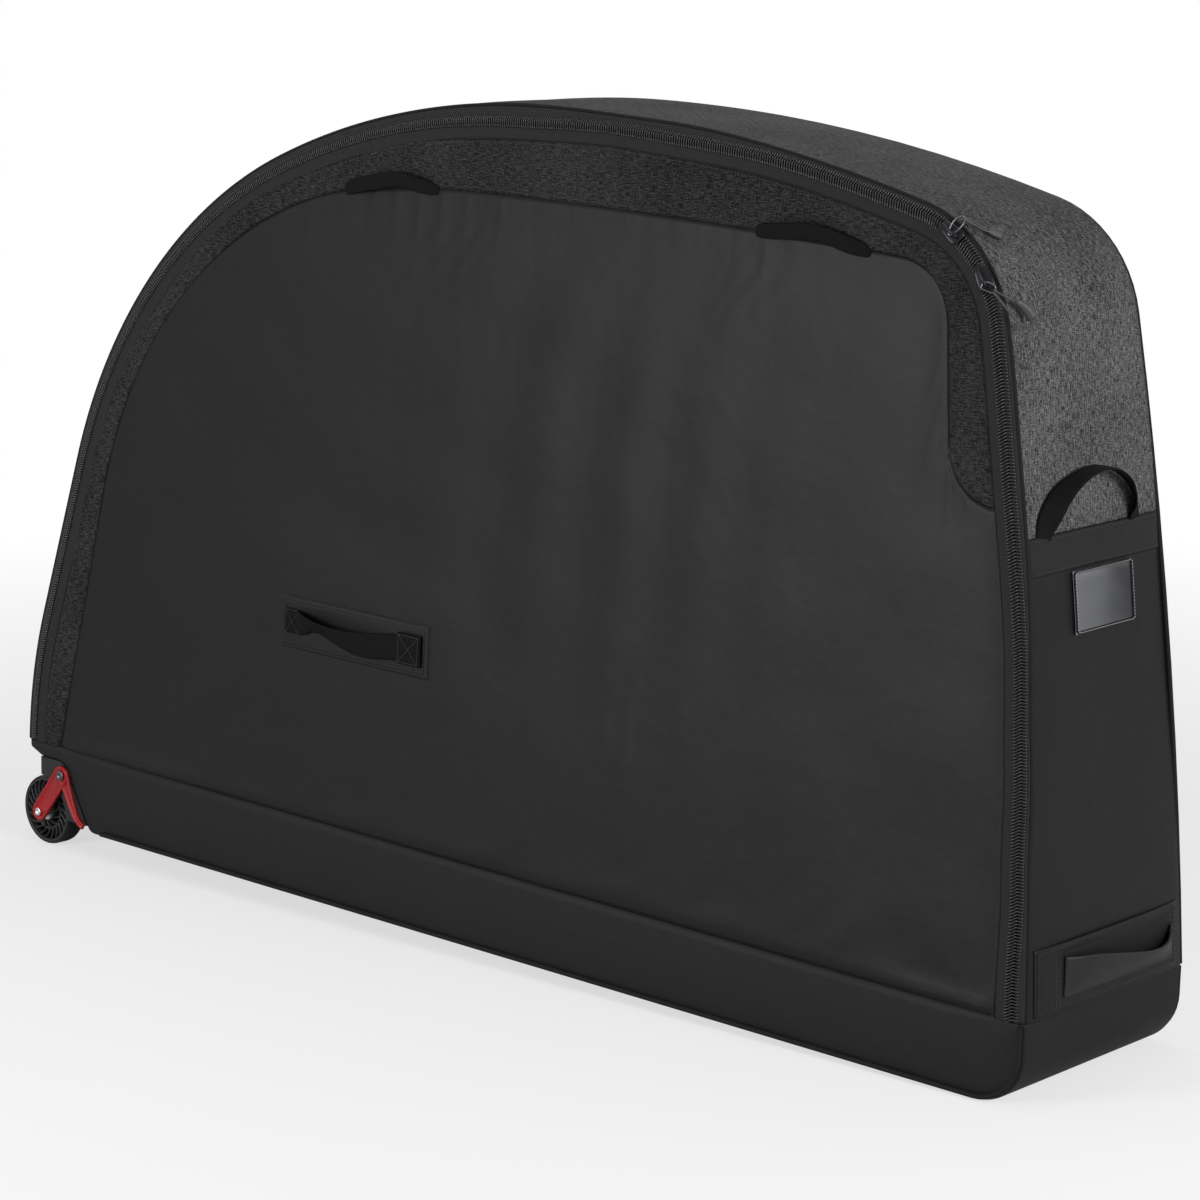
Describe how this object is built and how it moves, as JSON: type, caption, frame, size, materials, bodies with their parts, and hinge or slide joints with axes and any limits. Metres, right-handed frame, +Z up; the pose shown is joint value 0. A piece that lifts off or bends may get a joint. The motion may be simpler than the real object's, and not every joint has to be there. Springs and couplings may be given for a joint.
{
  "type": "bike travel case",
  "caption": "Tall soft-sided case for carrying a bicycle: stiff wheeled base, padded arched rim, zipped side panel, webbing handles and an inner rack.",
  "frame": {"origin": "on the floor under the middle of the case's box, between the wheels' rear and the grip's front", "axes": "+X from the wheeled end to the front end, +Y away from the zipped side, +Z up"},
  "size_m": [1.4264, 0.266, 0.8615],
  "materials": {
    "coated_cloth": "satin coated cloth",
    "heather_cloth": "dark grey melange weave",
    "webbing": "black ribbed webbing",
    "foam": "closed-cell padding",
    "lining": "plain lining cloth",
    "boot": "coated, fine grain",
    "board": "plain sheet",
    "cord": "glossy black piping",
    "zip_tape": "woven black tape",
    "zip_coil": "black nylon coil",
    "zip_metal": "black enamel",
    "pull": "moulded black",
    "rod": "glass-fibre rod",
    "moulded": "black moulded plastic",
    "tyre": "black tread",
    "steel": "zinc plated",
    "dark_bolt": "black oxide",
    "red_bracket": "red enamel",
    "rail": "anodised",
    "stand": "black powder coat",
    "window": "clear vinyl",
    "card": "plain dark card",
    "grip": "grained moulded grip"
  },
  "bodies": {
    "case": {"base_tray": "boot", "base_board": "board", "boot_piping": "cord", "gusset_rear": "heather_cloth", "gusset_shoulder": "heather_cloth", "gusset_top": "heather_cloth", "gusset_corner": "heather_cloth", "front_end_panel": "coated_cloth", "edge_piping_near": "cord", "edge_piping_far": "cord", "zip_tape_rim": "zip_tape", "zip_coil_rim": "zip_coil", "back_field": "coated_cloth", "back_band": "heather_cloth", "back_foam": "foam", "back_liner": "lining", "hoop_rod_near": "rod", "hoop_rod_far": "rod", "hoop_sockets": "moulded", "rack_rail": "rail", "rail_screws": "steel", "end_band": "webbing", "id_window": "window", "id_card": "card", "grip_backing": "coated_cloth", "end_grip": "grip", "wheel_housing_near": "moulded", "wheel_housing_far": "moulded", "wheel_bracket_near": "red_bracket", "wheel_bracket_far": "red_bracket", "pivot_bolts": "dark_bolt", "axle_bolts": "steel", "axle_spacers": "steel"},
    "door": {"door_field": "coated_cloth", "door_band": "heather_cloth", "door_foam": "foam", "door_liner": "lining", "zip_tape_door": "zip_tape", "zip_coil_door": "zip_coil", "loop_tabs": "webbing", "grab_patch": "coated_cloth", "grab_handle": "webbing"},
    "wheel_near": {"tyre_near": "tyre", "hub_near": "moulded", "bearings_near": "steel"},
    "wheel_far": {"tyre_far": "tyre", "hub_far": "moulded", "bearings_far": "steel"},
    "slider_upper": {"zip_slider_upper": "zip_metal"},
    "slider_lower": {"zip_slider_lower": "zip_metal"},
    "pull_upper": {"zip_pull_upper": "pull"},
    "pull_lower": {"zip_pull_lower": "pull"},
    "loop_rear": {"door_loop_rear": "webbing"},
    "loop_front": {"door_loop_front": "webbing"},
    "loop_end": {"end_loop": "webbing"},
    "stand_fork": {"fork_stand": "stand"},
    "stand_stay": {"stay_stand": "stand"},
    "knob_fork": {"fork_knob": "moulded"},
    "knob_stay": {"stay_knob": "moulded"}
  },
  "joints": [
    {"name": "door_hinge", "type": "hinge", "parent": "case", "child": "door", "pos_m": [0.00567, -0.127, 0.1013], "axis": [0.9995, 0, -0.0308], "range_deg": [0, 95]},
    {"name": "wheel_near_spin", "type": "hinge", "parent": "case", "child": "wheel_near", "pos_m": [-0.67254, -0.105, 0.04], "axis": [0, 1, 0], "continuous": true},
    {"name": "wheel_far_spin", "type": "hinge", "parent": "case", "child": "wheel_far", "pos_m": [-0.67254, 0.105, 0.04], "axis": [0, 1, 0], "continuous": true},
    {"name": "zip_slider_upper_travel", "type": "hinge", "parent": "door", "child": "slider_upper", "pos_m": [0.52335, -0.10388, 0.6682], "axis": [0.001, -0.9995, 0.0328], "range_deg": [0, 17]},
    {"name": "zip_slider_lower_travel", "type": "hinge", "parent": "door", "child": "slider_lower", "pos_m": [0.52335, -0.10388, 0.6682], "axis": [0.001, -0.9995, 0.0328], "range_deg": [-21, 0]},
    {"name": "zip_pull_upper_swing", "type": "hinge", "parent": "slider_upper", "child": "pull_upper", "pos_m": [0.58869, -0.10899, 0.7591], "axis": [-0.2884, -0.0317, -0.957], "range_deg": [0, 90]},
    {"name": "zip_pull_lower_swing", "type": "hinge", "parent": "slider_lower", "child": "pull_lower", "pos_m": [0.61965, -0.11017, 0.72206], "axis": [-0.897, -0.0154, -0.4418], "range_deg": [0, 90]},
    {"name": "door_loop_rear_swing", "type": "hinge", "parent": "door", "child": "loop_rear", "pos_m": [-0.10886, -0.10433, 0.76875], "axis": [0.9995, 0, -0.0308], "range_deg": [0, 100]},
    {"name": "door_loop_front_swing", "type": "hinge", "parent": "door", "child": "loop_front", "pos_m": [0.43289, -0.10433, 0.75208], "axis": [0.9995, 0, -0.0308], "range_deg": [0, 100]},
    {"name": "end_loop_swing", "type": "hinge", "parent": "case", "child": "loop_end", "pos_m": [0.67296, -0.01, 0.50829], "axis": [0, 1, 0], "range_deg": [0, 100]},
    {"name": "fork_stand_slide", "type": "slide", "parent": "case", "child": "stand_fork", "axis": [0.9997, 0, -0.023], "range_m": [-0.12, 0.12]},
    {"name": "fork_knob_turn", "type": "hinge", "parent": "stand_fork", "child": "knob_fork", "pos_m": [0.36957, -0.025, 0.03388], "axis": [0, 1, 0], "range_deg": [0, 270]},
    {"name": "stay_stand_slide", "type": "slide", "parent": "case", "child": "stand_stay", "axis": [0.9997, 0, -0.023], "range_m": [-0.12, 0.12]},
    {"name": "stay_knob_turn", "type": "hinge", "parent": "stand_stay", "child": "knob_stay", "pos_m": [-0.15029, -0.025, 0.04584], "axis": [0, 1, 0], "range_deg": [0, 270]}
  ]
}
